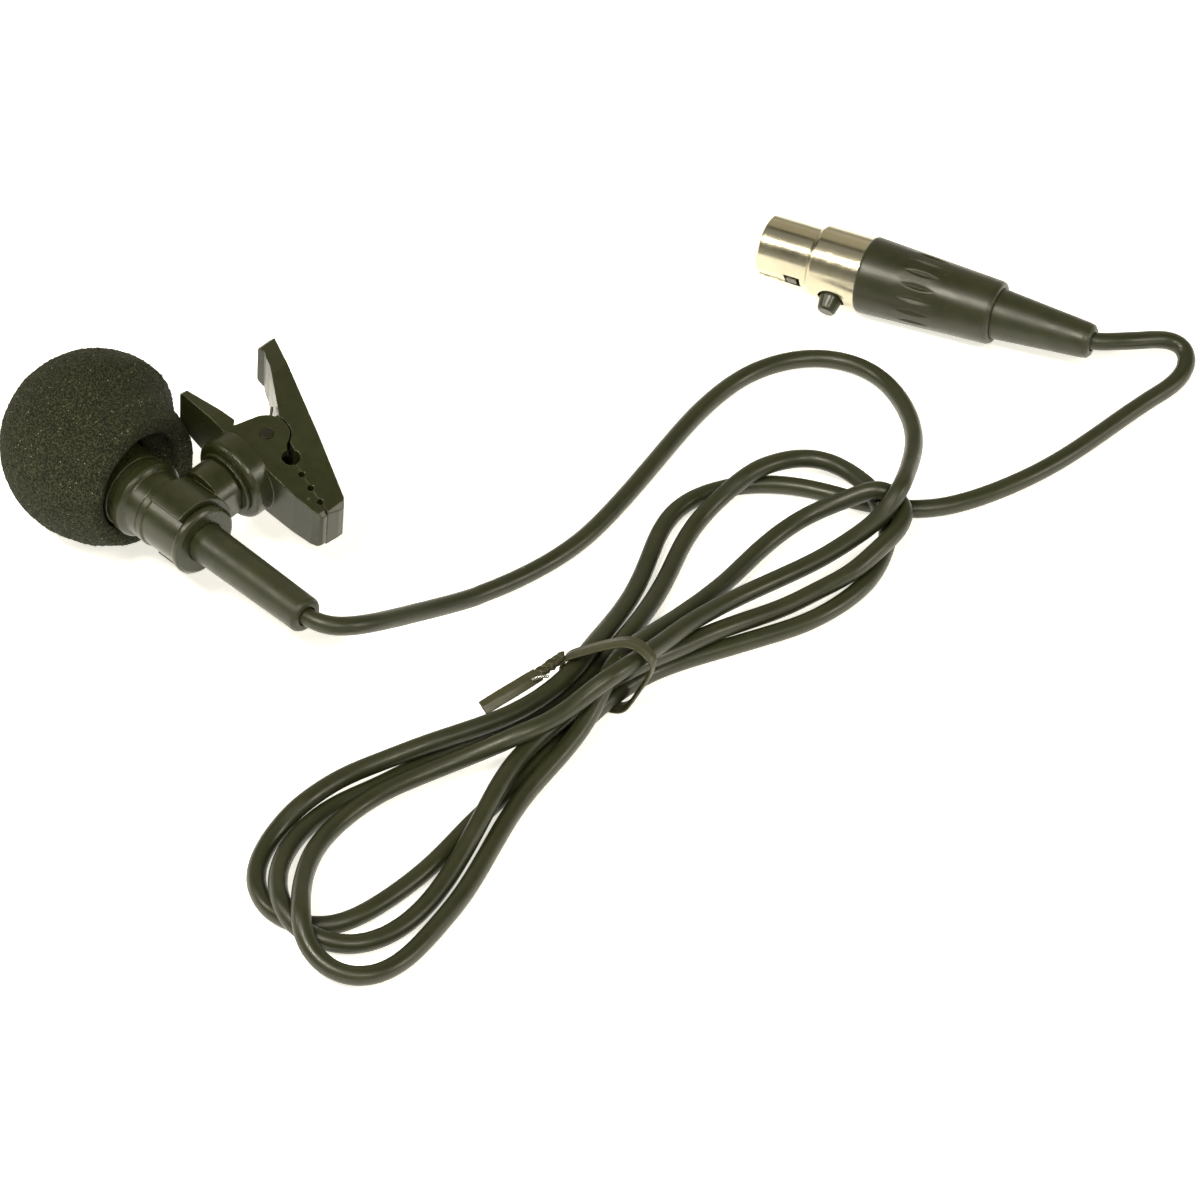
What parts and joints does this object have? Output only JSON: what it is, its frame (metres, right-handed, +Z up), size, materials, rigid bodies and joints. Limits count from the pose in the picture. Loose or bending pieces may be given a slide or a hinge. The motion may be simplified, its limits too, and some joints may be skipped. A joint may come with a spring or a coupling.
{
  "type": "lavalier microphone",
  "caption": "Clip-on lapel microphone with a foam windscreen, a turning spring clip, a cord bundled with a wire tie, and a locking miniature cable plug.",
  "frame": {"origin": "bottom centre of the microphone and its clip, on the surface that they lie on", "axes": "+Z up; +X along the microphone, from the foam towards the cord; +Y towards the clip and the plug"},
  "size_m": [0.0932, 0.1532, 0.0236],
  "materials": {
    "foam": "open-cell foam",
    "black_plastic": "satin",
    "cloth": "fine weave",
    "aluminium_can": "satin",
    "soft_rubber": "matte",
    "circuit_board": "lacquered",
    "wire_insulation": "smooth",
    "relief_rubber": "satin, finely ribbed",
    "steel": "plain",
    "black_steel": "blackened",
    "cord_jacket": "smooth satin jacket",
    "tie_film": "satin film",
    "tie_steel": "bare wire",
    "nickel": "warm nickel plate",
    "insert_plastic": "matte",
    "gilt_brass": "gilt",
    "shell_plastic": "satin"
  },
  "bodies": {
    "microphone": {"capsule_cap": "black_plastic", "acoustic_cloth": "cloth", "electret_capsule": "aluminium_can", "capsule_gasket": "soft_rubber", "capsule_board": "circuit_board", "capsule_wires": "wire_insulation", "front_housing": "black_plastic", "rear_housing": "black_plastic", "mic_strain_relief": "relief_rubber", "cord_mic_lead": "cord_jacket", "cord_hank": "cord_jacket", "cord_plug_lead": "cord_jacket", "tie_ribbon": "tie_film", "tie_wire": "tie_steel", "plug_barrel": "nickel", "contact_insert": "insert_plastic", "socket_contacts": "gilt_brass", "cord_chuck": "steel", "rear_shell": "shell_plastic", "plug_strain_relief": "relief_rubber"},
    "windscreen": {"foam_windscreen": "foam"},
    "clamp": {"clamp_ring": "black_plastic"},
    "clip": {"swivel_washer": "black_plastic", "swivel_rivet": "steel", "lower_jaw": "black_plastic", "pivot_pin": "black_steel", "jaw_spring": "steel"},
    "upper_jaw": {"upper_jaw": "black_plastic", "jaw_spring_leg": "steel"},
    "latch": {"latch_lever": "nickel", "latch_button": "black_plastic"}
  },
  "joints": [
    {"name": "windscreen_pull", "type": "slide", "parent": "microphone", "child": "windscreen", "axis": [-1, 0, 0], "range_m": [0, 0.025]},
    {"name": "clamp_turn", "type": "hinge", "parent": "microphone", "child": "clamp", "pos_m": [0.0031, -0.0071, 0.0118], "axis": [1, 0, 0], "continuous": true},
    {"name": "clip_swivel", "type": "hinge", "parent": "clamp", "child": "clip", "pos_m": [0.00162, 0.00286, 0.01276], "axis": [0, 0.9976, 0.0698], "continuous": true},
    {"name": "jaw_open", "type": "hinge", "parent": "clip", "child": "upper_jaw", "pos_m": [0.00152, 0.00794, 0.01313], "axis": [0.1736, -0.0687, 0.9824], "range_deg": [0, 30], "stiffness_Nm_per_rad": 0.02, "springref_deg": -40.11},
    {"name": "latch_press", "type": "hinge", "parent": "microphone", "child": "latch", "pos_m": [0.02937, 0.09249, 0.00384], "axis": [-0.159, 0.4417, -0.8829], "range_deg": [0, 3.5], "stiffness_Nm_per_rad": 0.05, "springref_deg": -8.59}
  ]
}
